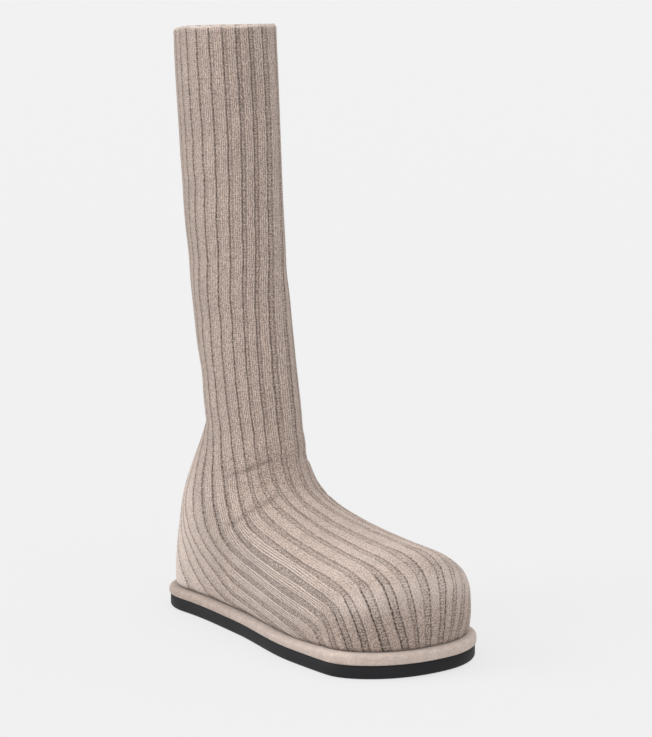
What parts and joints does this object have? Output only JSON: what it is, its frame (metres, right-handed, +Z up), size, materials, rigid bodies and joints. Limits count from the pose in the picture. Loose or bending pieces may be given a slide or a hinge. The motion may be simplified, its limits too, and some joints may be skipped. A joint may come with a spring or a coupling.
{
  "type": "sock boot",
  "caption": "Knee-high rib-knit sock boot for the right foot, with a blunt toe, a suede-wrapped midsole and a flat rubber outsole.",
  "frame": {"origin": "middle of the sole's footprint, on the floor under the outsole", "axes": "+X towards the toe, +Y towards the inner side of the foot, +Z up the shaft"},
  "size_m": [0.2875, 0.1234, 0.426],
  "materials": {
    "rubber": "matte black moulded rubber",
    "suede": "beige suede with a short nap",
    "lining": "brushed knit lining",
    "knit": "taupe marled wool rib knit"
  },
  "bodies": {
    "root": {"outsole": "rubber", "midsole": "suede", "insole": "lining", "upper": "knit"}
  },
  "joints": []
}
